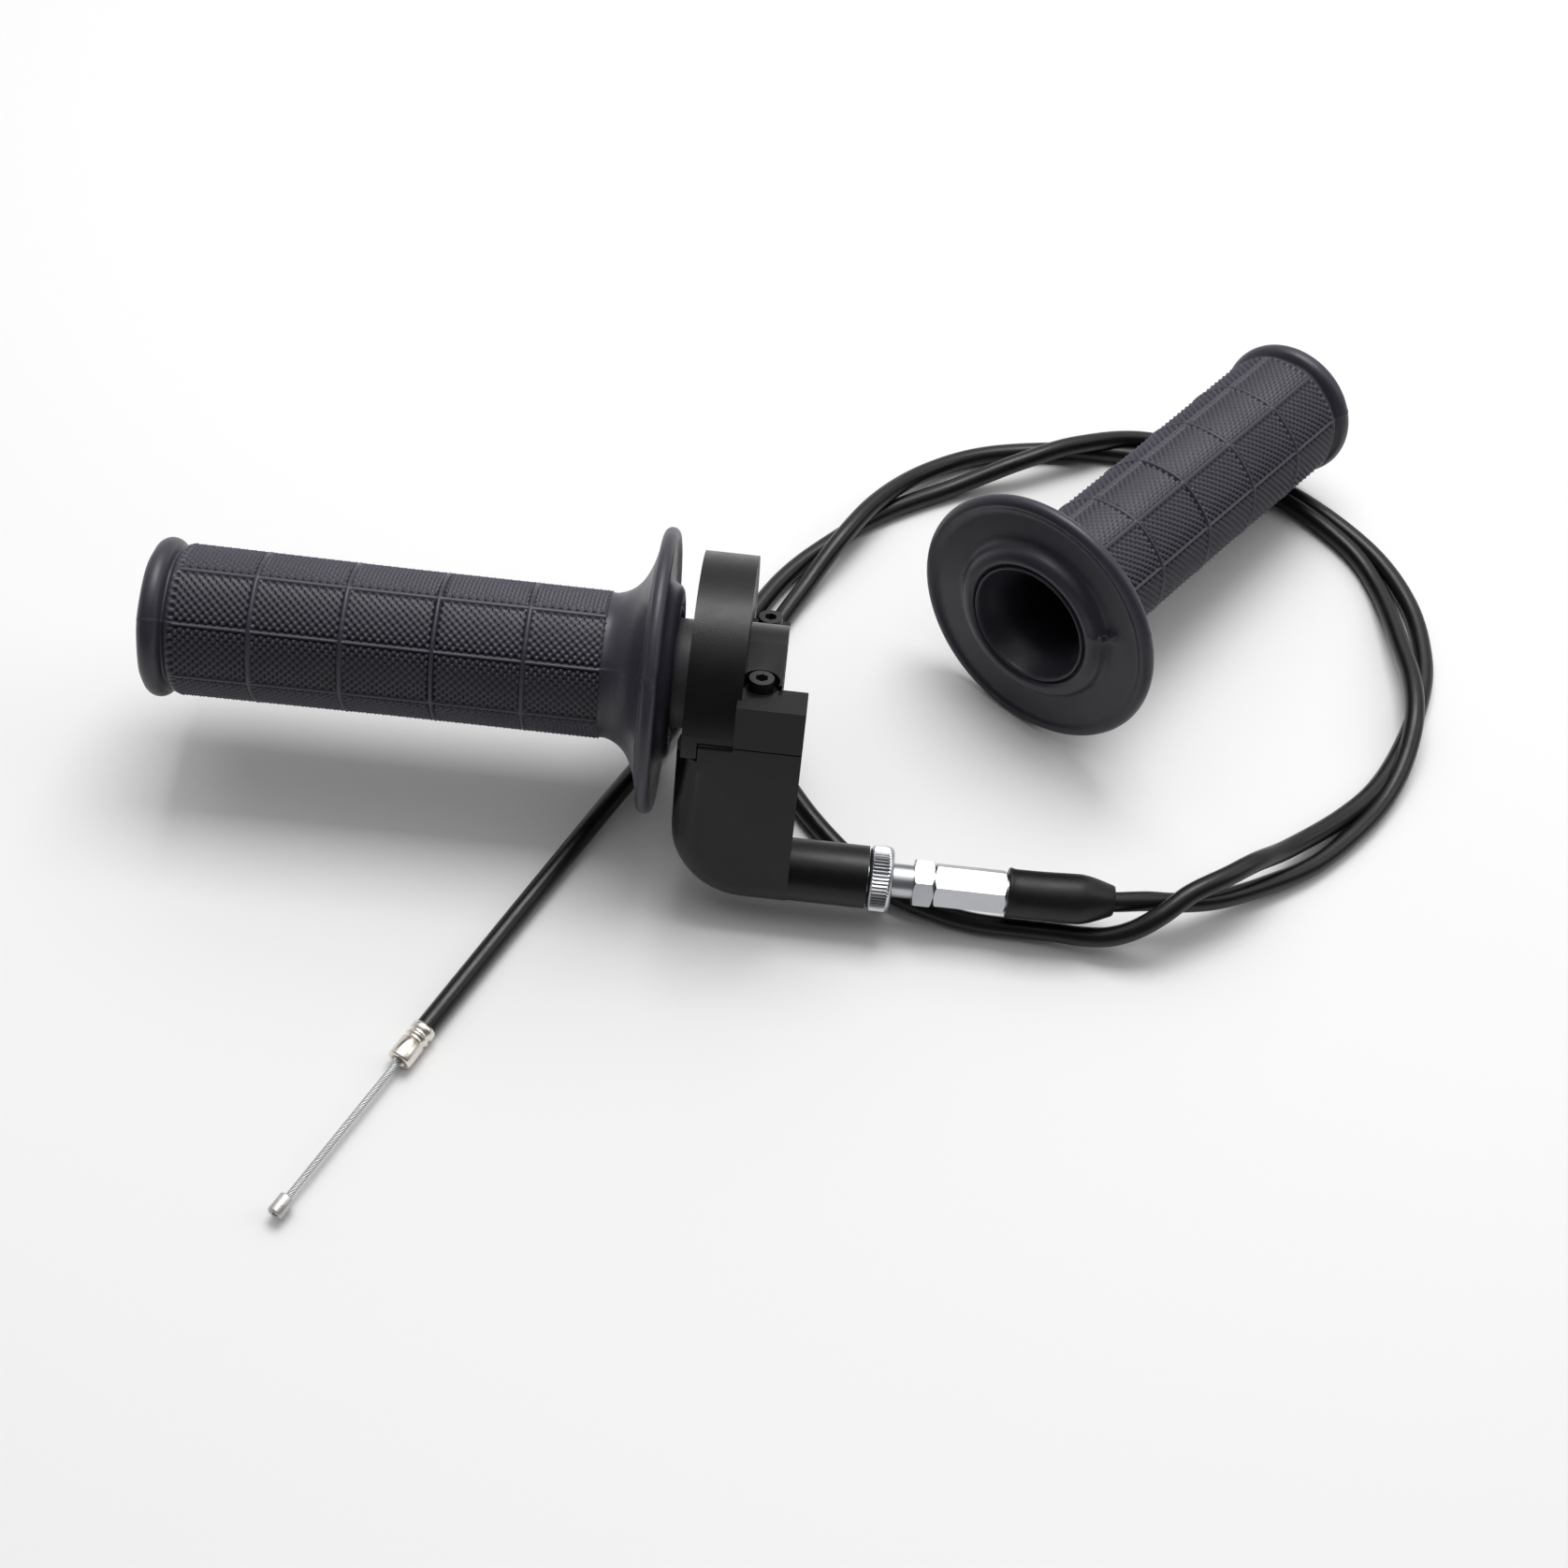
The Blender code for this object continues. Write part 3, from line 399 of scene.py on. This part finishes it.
def make_ferrule():
    """A crimped metal sleeve with two pressed grooves and a rolled, countersunk end."""
    mouth = SHEATH_END_LENGTH - FERRULE_OVERLAP
    out, r = FERRULE_OUT, FERRULE_R
    rings = [(mouth, SHEATH_R + 0.1 * MM), (mouth, r - 0.35 * MM), (mouth + 0.3 * MM, r - 0.05 * MM)]
    for middle in (2.3, 4.0):
        x = mouth + middle * MM
        rings += [(x - 0.75 * MM, r - 0.02 * MM), (x - 0.4 * MM, r - 0.3 * MM), (x, r - 0.42 * MM),
                  (x + 0.4 * MM, r - 0.3 * MM), (x + 0.75 * MM, r - 0.02 * MM)]
    rings += arc(out - 0.5 * MM, r - 0.5 * MM, 0.5 * MM, 90, 0, 4)
    rings += [(out, 1.75 * MM), (out - 0.35 * MM, 1.35 * MM), (out - 2.0 * MM, 1.2 * MM),
              (SHEATH_END_LENGTH + 0.3 * MM, 1.15 * MM), (SHEATH_END_LENGTH + 0.3 * MM, SHEATH_R + 0.1 * MM)]
    mesh = lathe("ferrule", rings, even_angles(56))
    return add_piece("ferrule", mesh, nickel, "housing_set", tail_place,
                     ["cable_ferrule"], 50.0)


def make_wire():
    """Strands laid up in one twisted wire, from inside the sheath to the end nipple."""
    start = SHEATH_END_LENGTH - WIRE_HIDDEN
    end = FERRULE_OUT + BARE_WIRE + WIRE_IN_NIPPLE
    steps, count = 170, STRANDS * 6
    verts, faces = [], []
    for i in range(steps + 1):
        x = start + (end - start) * i / steps
        for j in range(count):
            angle = math.tau * j / count
            lobe = abs(math.cos(STRANDS * angle / 2))
            r = WIRE_R * (0.80 + 0.20 * lobe ** 0.6)
            turn = angle + math.tau * x / STRAND_PITCH
            verts.append((x, r * math.cos(turn), r * math.sin(turn)))
    for i in range(steps):
        for j in range(count):
            k = (j + 1) % count
            faces.append((i * count + j, i * count + k, (i + 1) * count + k, (i + 1) * count + j))
    faces += [tuple(range(count)), tuple(range(steps * count, (steps + 1) * count))]
    mesh = bpy.data.meshes.new("bare_wire")
    mesh.from_pydata(verts, [], faces)
    bm = bmesh.new()
    bm.from_mesh(mesh)
    mesh = mesh_from("bare_wire", bm)
    wire = add_piece("bare_wire", mesh, wire_steel, "wire_end", tail_place, ["wire_tail"], 60.0)
    path = [tail_place @ Vector((start + (end - start) * s / 6, 0, 0)) for s in range(7)]
    return wire, path, end - start


def make_end_nipple():
    """A cast nipple with rounded edges, a parting bead round it and solder where the wire comes through."""
    x0 = FERRULE_OUT + BARE_WIRE
    x1 = x0 + END_NIPPLE_LENGTH
    r = END_NIPPLE_R
    edge = 0.45 * MM
    rings = [(x0 + 0.2 * MM, WIRE_R + 0.12 * MM), (x0, 1.2 * MM)]
    rings += arc(x0 + edge, r - edge, edge, 180, 95, 4)
    rings += [(x0 + 2.0 * MM, r - 0.04 * MM), (x0 + 2.4 * MM, r), (x0 + 2.8 * MM, r - 0.04 * MM)]
    rings += arc(x1 - edge, r - edge, edge, 85, 0, 4)
    rings += [(x1 - 0.15 * MM, 1.15 * MM), (x1 - 0.5 * MM, WIRE_R + 0.1 * MM)]

    def cast(x, r, angle):
        lumps = noise.noise(Vector((x * 900, math.cos(angle) * 2, math.sin(angle) * 2)))
        return r * (1 + 0.012 * lumps)

    mesh = lathe("end_nipple", rings, even_angles(40), cast)
    return add_piece("end_nipple", mesh, nipple_metal, "wire_end", tail_place,
                     ["wire_end_nipple"], 50.0)


cable, cable_start, cable_length = make_cable()
ferrule = make_ferrule()
wire, wire_path, wire_length = make_wire()
end_nipple = make_end_nipple()

# ---------------------------------------------------------------- rubber grips
GRIP_LENGTH = 114.3 * MM
BEAD_R = 18.5 * MM
BEAD_HALF = 2.7 * MM
BODY_R_OUTER_END = 17.2 * MM
BODY_R = 16.8 * MM
END_WALL = 2.4 * MM
END_HOLE_R = 5.0 * MM
WAFFLE = (-108.9 * MM, -12.4 * MM)
CROSS_RIBS = tuple(x * MM for x in (-91.6, -70.9, -50.2, -29.5))
LONG_RIBS = 8
WAFFLE_PITCH = 1.88 * MM
WAFFLE_HEIGHT = 0.60 * MM
WAFFLE_SINK = 0.08 * MM             # the pattern's middle lies this far under the body's surface
PLAIN_PAINTED_SHADE = 0.43                 # painted shade value of the plain rubber, between pit 0 and peak 1
# painted shade value that caps the ribs' painted brightness, between pit 0 and peak 1
RIB_PAINTED_SHADE = 0.48
RIB_REACH = 1.0 * MM                # smooth strip on each side of a rib
RIB_MOAT = 0.30 * MM
CROSS_RIB = (0.62 * MM, 0.50 * MM)  # half width and height
LONG_RIB = (0.66 * MM, 0.34 * MM)
SEAM_RIB = (0.40 * MM, 0.40 * MM)
SEAM_ZONE = 0.2                     # radians on each side of the mould seam
OUTSIDE_R = 16.0 * MM               # the grip's outer surface lies beyond this radius
BODY_MAX_R = 17.6 * MM
FLAT_DEPTH = 0.28 * MM              # the panels between long ribs are a little flat
FLAT_FROM = -5.0 * MM
FLAT_FADE = 8.0 * MM
SEAM_LINE = (0.5 * MM, 0.16 * MM)
SLACK = 1e-7
RIB_PROFILE = (-1.0, -0.62, -0.36, 0.0, 0.36, 0.62, 1.0)
STEPS_PER_PITCH = 4


def half_pitches(width):
    return round(2 * width / WAFFLE_PITCH) / 2


def grip_angles(seam):
    """Angles round the grip: a fan of close ones at each long rib, and four to each waffle pitch between."""
    rib_step = math.tau / LONG_RIBS
    inset = RIB_REACH / BODY_R
    cells = half_pitches(BODY_R * rib_step - 2 * RIB_REACH)
    count = round(cells * STEPS_PER_PITCH)
    angles = []
    for rib in range(LONG_RIBS):
        middle = seam + rib * rib_step
        angles += [middle + offset * inset for offset in RIB_PROFILE[:-1]]
        angles += [middle + inset + (rib_step - 2 * inset) * i / count for i in range(count)]
    return angles


def body_stations():
    """Positions along the waffled body, close together at each cross rib."""
    edges = [WAFFLE[0] - RIB_REACH, *CROSS_RIBS, WAFFLE[1] + RIB_REACH]
    stations = []
    for left, right in zip(edges, edges[1:]):
        width = right - left - 2 * RIB_REACH
        count = round(half_pitches(width) * STEPS_PER_PITCH)
        stations += [left + RIB_REACH + width * i / count for i in range(count + 1)]
        if right in CROSS_RIBS:
            stations += [right + offset * RIB_REACH for offset in RIB_PROFILE[1:-1]]
    return stations


def panel_place(value, left, right):
    """Waffle phase in turns, counted from the panel's edge, or None on a rib's strip."""
    width = right - left - 2 * RIB_REACH
    where = value - left - RIB_REACH
    if where < -SLACK or where > width + SLACK:
        return None
    return where / width * half_pitches(width)


def waffle_phase(x, angle, seam):
    """Turns of the waffle along and round the grip, counted in its panel, or None beside and on a rib."""
    edges = [WAFFLE[0] - RIB_REACH, *CROSS_RIBS, WAFFLE[1] + RIB_REACH]
    rib_step = math.tau / LONG_RIBS
    along = next((panel_place(x, a, b) for a, b in zip(edges, edges[1:]) if a <= x <= b), None)
    across = panel_place((angle - seam) % rib_step * BODY_R, 0.0, rib_step * BODY_R)
    return None if along is None or across is None else (along, across)


def rib_height(away, rib):
    half_width, height = rib
    return max(0.0, 1 - (away / half_width) ** 2) * height


def waffle_relief(x, angle, seam):
    """Height over the body: staggered pyramids, with raised ribs round and along the grip."""
    rib_step = math.tau / LONG_RIBS
    around = (angle - seam) % rib_step
    beside = min(around, rib_step - around) * BODY_R
    is_seam = (angle - seam + SEAM_ZONE) % math.tau < 2 * SEAM_ZONE
    ridge = max(rib_height(min(abs(x - rib) for rib in CROSS_RIBS), CROSS_RIB),
                rib_height(beside, SEAM_RIB if is_seam else LONG_RIB))
    if ridge > 0:
        return ridge
    phase = waffle_phase(x, angle, seam)
    if phase is None:
        return -RIB_MOAT
    wave = math.cos(math.tau * phase[0]) * math.cos(math.tau * phase[1])
    return WAFFLE_HEIGHT * wave - WAFFLE_SINK


def grip_rings(bore_r, mouth_r):
    """The grip's outline as a closed loop, from the end hole along the outside to the mouth and the bore."""
    end, bead_x = -GRIP_LENGTH - BEAD_HALF, -GRIP_LENGTH
    rings = [(end + END_WALL, END_HOLE_R), (end + 0.4 * MM, END_HOLE_R), (end, END_HOLE_R + 0.4 * MM)]
    rings += [(end, r * MM) for r in (8.0, 11.0, 13.6, 15.6)]
    rings += arc(bead_x, BEAD_R - BEAD_HALF, BEAD_HALF, 178, 24, 14)
    notch = [(2.65, 16.5), (3.0, 16.25), (3.4, 16.5), (3.7, 17.1), (4.3, 17.3)]
    rings += [(bead_x + x * MM, r * MM) for x, r in notch]
    rings += [(x, body_radius(x)) for x in body_stations()]
    rings += [(WAFFLE[1] + 0.15 * MM, 16.85 * MM), (WAFFLE[1] + 0.8 * MM, 16.85 * MM)]
    flare = [(-11.0, 16.85), (-9.3, 17.35), (-7.4, 18.4), (-5.6, 20.2), (-4.2, 22.6), (-3.1, 25.4),
             (-2.5, 27.6)]
    rings += through([(x * MM, r * MM) for x, r in flare], 3)
    crease = [(-2.1, 28.3), (-1.5, 28.8), (-0.95, 29.15), (-0.7, 29.5), (-0.75, 29.85), (-1.1, 30.1)]
    rings += [(x * MM, r * MM) for x, r in crease]
    rings += arc(0.0, FLANGE_R - RIM_HALF, RIM_HALF, 215, -35, 20)
    rings += [(1.15 * MM, 30.1 * MM), (0.95 * MM, 29.6 * MM)]
    rings += [(0.8 * MM, (29.0 - 0.6 * i) * MM) for i in range(10)]
    hump = [(0.8, 23.0), (0.9, 22.2), (1.2, 21.5), (2.2, 20.7), (3.3, 20.1), (4.0, 19.0), (4.2, 17.4)]
    rings += through([(x * MM, r * MM) for x, r in hump], 2)
    lip = mouth_r + 0.7 * MM
    groove = [(3.9, 0.95), (3.3, 0.7), (2.9, 0.5), (2.95, 0.3), (3.5, 0.15), (4.0, 0.0), (4.12, -0.2),
              (4.0, -0.45)]
    rings += [(x * MM, lip + out * MM) for x, out in groove]
    funnel = [(3.5 * MM, mouth_r), (1.0 * MM, mouth_r - 0.25 * (mouth_r - bore_r)),
              (-3.0 * MM, mouth_r - 0.75 * (mouth_r - bore_r)), (-7.0 * MM, bore_r)]
    rings += through(funnel, 4)
    rings += [(x * MM, bore_r) for x in (-30.0, -70.0)]
    rings += [(end + END_WALL + 0.5 * MM, bore_r), (end + END_WALL, bore_r - 0.5 * MM)]
    return rings


def body_radius(x):
    taper = min(1.0, max(0.0, (-60 * MM - x) / (50 * MM)))
    return BODY_R + (BODY_R_OUTER_END - BODY_R) * taper


def make_grip(name, bore_r, mouth_r, seam, nub, body, place, node):
    """nub is where torn moulding flash stands on the flange: (x, radius, angle, height)."""
    body_start, body_end = WAFFLE[0] - SLACK, WAFFLE[1] + SLACK
    nub_x, nub_r, nub_angle, nub_height = nub

    def radius_at(x, r, angle):
        if r <= OUTSIDE_R:
            return r
        flat = 0.0
        if x < FLAT_FROM and r < BODY_MAX_R:
            fade = min(1.0, (FLAT_FROM - x) / FLAT_FADE)
            flat = -FLAT_DEPTH * fade * (1 - math.cos(LONG_RIBS * (angle - seam))) / 2
        if body_start <= x <= body_end and r < BODY_MAX_R:
            return r + flat + waffle_relief(x, angle, seam)
        away = abs((angle - seam + math.pi) % math.tau - math.pi) * r
        seam_line = rib_height(away, SEAM_LINE) if x < 1 * MM else 0.0
        soft = 0.035 * MM * noise.noise(Vector((x * 90, math.cos(angle) * 1.7, math.sin(angle) * 1.7)))
        return r + flat + seam_line + soft

    def shift_at(x, r, angle):
        if r < 15 * MM or x < -3 * MM:
            return 0.0
        turn = (angle - nub_angle + math.pi) % math.tau - math.pi
        away = ((turn * r / (1.5 * MM)) ** 2 + ((r - nub_r) / (2.3 * MM)) ** 2
                + ((x - nub_x) / (3.0 * MM)) ** 2)
        if away > 6:
            return 0.0
        lumps = noise.noise(Vector((r * 1500, turn * 40, 3.7)))
        lumps += 0.6 * noise.noise(Vector((r * 3200, turn * 90, 9.1)))
        return nub_height * math.exp(-away) * (0.75 + 1.1 * lumps)

    mesh = lathe(name, grip_rings(bore_r, mouth_r), grip_angles(seam), radius_at, shift_at, relief=True)
    # Painted shade: a relief value per point, low in the pits and moats, high on the raised net and capped
    # on the ribs, which the grip material multiplies into its colour as painted shade and painted highlight.
    height = mesh.attributes.new("relief", "FLOAT", "POINT")
    for vert, value in zip(mesh.vertices, height.data):
        x, r = vert.co.x, math.hypot(vert.co.y, vert.co.z)
        value.value = PLAIN_PAINTED_SHADE
        if body_start <= x <= body_end and r > OUTSIDE_R:
            angle = math.atan2(vert.co.z, vert.co.y)
            relief = waffle_relief(x, angle, seam)
            on_rib = relief > 0 and waffle_phase(x, angle, seam) is None
            share = max(0.0, 0.5 + relief / (2 * WAFFLE_HEIGHT))
            value.value = min(RIB_PAINTED_SHADE, share) if on_rib else share
    return add_piece(name, mesh, grip_rubber, body, place, [node], 75.0)


RIGHT_SEAM = math.radians(133.0)
LEFT_SEAM = math.radians(29.5)
RIGHT_NUB = (0.0, 32.0 * MM, RIGHT_SEAM, -0.8 * MM)
LEFT_NUB = (1.8 * MM, 21.8 * MM, math.radians(26.0), 1.7 * MM)
make_grip("throttle_grip_rubber", 13.0 * MM, 14.6 * MM, RIGHT_SEAM, RIGHT_NUB, "throttle", bar_place,
          "right_grip")
make_grip("left_grip_rubber", 11.0 * MM, 15.0 * MM, LEFT_SEAM, LEFT_NUB, "spare_grip", left_place,
          "left_grip")


# ---------------------------------------------------------------- adjuster
RING_X = (53.4 * MM, 58.9 * MM)
RING_R = 7.65 * MM
RING_BORE_R = 4.25 * MM
RING_TEETH = 54
TOOTH_DEPTH = 0.42 * MM
BOOT_X = (85.8 * MM, 111.0 * MM)
BOOT_R = 5.9 * MM
BOOT_SAG_FROM = 90.0 * MM
BOOT_SAG = Vector((0.0, 1.77, -0.42)) * MM


def make_knurled_ring():
    """Straight knurling between two plain chamfered edges."""
    x0, x1 = RING_X
    r, bore = RING_R, RING_BORE_R
    left = [(0.0, 1.0), (0.15, 0.75), (0.7, 0.2), (0.95, 0.0)]
    right = [(1.25, 0.0), (0.95, 0.25), (0.6, 0.12), (0.2, 0.45), (0.0, 0.9)]
    rings = [(x0, bore), *((x0 + x * MM, r - drop * MM) for x, drop in left)]
    rings += [*((x1 - x * MM, r - drop * MM) for x, drop in right), (x1, bore)]
    first, last = x0 + 0.9 * MM, x1 - 1.2 * MM

    def tooth(angle):
        """1 on a crest and 0 in a valley."""
        return 1 - abs(2 * ((angle * RING_TEETH / math.tau) % 1.0) - 1)

    def knurled(x, r):
        return first <= x <= last and r > RING_BORE_R + MM

    def radius_at(x, r, angle):
        return r - TOOTH_DEPTH * (1 - tooth(angle)) if knurled(x, r) else r

    mesh = lathe("knurled_ring_finish", rings, even_angles(RING_TEETH * 6), radius_at)
    # Painted shade: a relief value per point, 0 in the knurl's valleys and 1 on its crests, which the
    # knurled material multiplies into its colour as painted shade.
    depth = mesh.attributes.new("relief", "FLOAT", "POINT")
    for vert, value in zip(mesh.vertices, depth.data):
        on_teeth = knurled(vert.co.x, math.hypot(vert.co.y, vert.co.z))
        value.value = tooth(math.atan2(vert.co.z, vert.co.y)) if on_teeth else 0.8
    add_piece("knurled_ring_finish", mesh, knurled_zinc, "ring", outlet_place,
              ["knurled_ring"], 40.0)


def make_boot():
    """A soft boot: a rolled lip, a plain sleeve and a tip that closes on the cable and bends with it."""
    x0, x1 = BOOT_X
    r = BOOT_R
    outline = [(x0 + 0.5 * MM, 4.35 * MM), (x0 + 0.1 * MM, 4.6 * MM)]
    outline += arc(x0 + 0.55 * MM, r - 0.45 * MM, 0.5 * MM, 190, 60, 6)
    outline += [(x0 + 1.4 * MM, r - 0.16 * MM), (x0 + 2.6 * MM, r - 0.2 * MM)]
    sleeve = [(x0 + 2.8 * MM, r - 0.2 * MM), (x0 + 9 * MM, r - 0.12 * MM)]
    nose = [(9.5, 0.02), (7.2, 0.15), (4.6, 0.75), (2.0, 1.65)]
    sleeve += [(x1 - x * MM, r - drop * MM) for x, drop in nose]
    outline += through([*sleeve, (x1 - 0.6 * MM, 3.75 * MM)], 4)
    tip = [(0.1, 3.5), (0.0, 3.2), (0.5, 3.05), (4.0, 3.05)]
    outline += [(x1 - x * MM, r * MM) for x, r in tip]
    outline += [(SHEATH_START - 2 * MM, 3.75 * MM), (SHEATH_START - 2 * MM, 4.3 * MM)]

    def soft(x, r, angle):
        return r + 0.05 * MM * noise.noise(Vector((x * 160, math.cos(angle), math.sin(angle))))

    mesh = lathe("boot", outline, even_angles(64), soft)
    for vert in mesh.vertices:
        share = max(0.0, vert.co.x - BOOT_SAG_FROM) / (x1 - BOOT_SAG_FROM)
        vert.co += BOOT_SAG * share ** 2
    add_piece("boot", mesh, boot_rubber, "cable_end", outlet_place, ["cable_boot"], 50.0)


make_knurled_ring()
make_boot()
refined_copy("housing_cap", housing_plastic, "housing_set", 0.45 * MM)
refined_copy("housing_body", housing_plastic, "housing_set", 0.45 * MM)
refined_copy("lock_nut", zinc, "nut", 0.12 * MM)
refined_copy("hex_adjuster", zinc, "hex", 0.12 * MM)
refined_copy("adjuster_barrel", zinc, "housing_set", 0.08 * MM)
refined_copy("throttle_tube", tube_plastic, "throttle", 0.25 * MM)
for screw in ("cap_screw_front", "cap_screw_rear"):
    refined_copy(screw, screw_steel, "housing_set", 0.3 * MM, 3)

# ---------------------------------------------------------------- CAD nodes that stay, in better materials
KEPT = {"drum_nipple": nipple_metal, "captive_nut_front": nut_zinc, "captive_nut_rear": nut_zinc,
        "sheath_top_cap": zinc, "inner_wire_lead": wire_steel}
for node, mat in KEPT.items():
    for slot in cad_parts[node].material_slots:
        slot.material = mat


# ---------------------------------------------------------------- floor and light
def make_floor():
    bm = bmesh.new()
    bmesh.ops.create_grid(bm, x_segments=2, y_segments=2, size=30.0)
    mesh = mesh_from("floor", bm)
    mat, tree, shader = principled("floor_paper", (0.77, 0.77, 0.77), 0.9, 0.0, 0.1)
    mesh.materials.append(mat)
    floor = bpy.data.objects.new("floor", mesh)
    bpy.context.scene.collection.objects.link(floor)


def area_light(name, direction, distance, size, power, target=Vector((0.02, -0.02, 0.02))):
    light = bpy.data.lights.new(name, "AREA")
    light.shape = "RECTANGLE"
    light.size, light.size_y = size
    light.energy = power
    lamp = bpy.data.objects.new(name, light)
    back = Vector(direction).normalized()
    lamp.matrix_world = (Matrix.Translation(target + back * distance)
                         @ back.to_track_quat("Z", "Y").to_matrix().to_4x4())
    bpy.context.scene.collection.objects.link(lamp)


def soft_sun(direction, angle, strength):
    """A very wide sun: soft light that reaches the whole floor evenly."""
    light = bpy.data.lights.new("overhead", "SUN")
    light.angle = math.radians(angle)
    light.energy = strength
    lamp = bpy.data.objects.new("overhead", light)
    lamp.matrix_world = Vector(direction).normalized().to_track_quat("Z", "Y").to_matrix().to_4x4()
    bpy.context.scene.collection.objects.link(lamp)


def make_world():
    world = bpy.data.worlds.new("studio")
    world.use_nodes = True
    tree = world.node_tree
    background = tree.nodes["Background"]
    place = tree.nodes.new("ShaderNodeTexCoord")
    split = tree.nodes.new("ShaderNodeSeparateXYZ")
    spread = texture(tree, "ShaderNodeMapRange")
    spread.inputs["From Min"].default_value = -0.35
    spread.inputs["From Max"].default_value = 0.75
    spread.inputs["To Min"].default_value = 0.12
    spread.inputs["To Max"].default_value = 0.75
    tree.links.new(place.outputs["Generated"], split.inputs["Vector"])
    tree.links.new(split.outputs["Y"], spread.inputs["Value"])
    tree.links.new(spread.outputs["Result"], background.inputs["Strength"])
    background.inputs["Color"].default_value = (1.0, 1.0, 1.0, 1.0)
    bpy.context.scene.world = world


make_floor()
make_world()
area_light("key", (0.0, 0.345, 0.939), 0.95, (0.56, 0.42), 6.1)
soft_sun((0.05, 0.32, 0.95), 80.0, 1.08)
area_light("side", (0.9, 0.1, 0.6), 1.1, (0.5, 0.5), 1.2)
bpy.context.scene.view_settings.view_transform = "Standard"
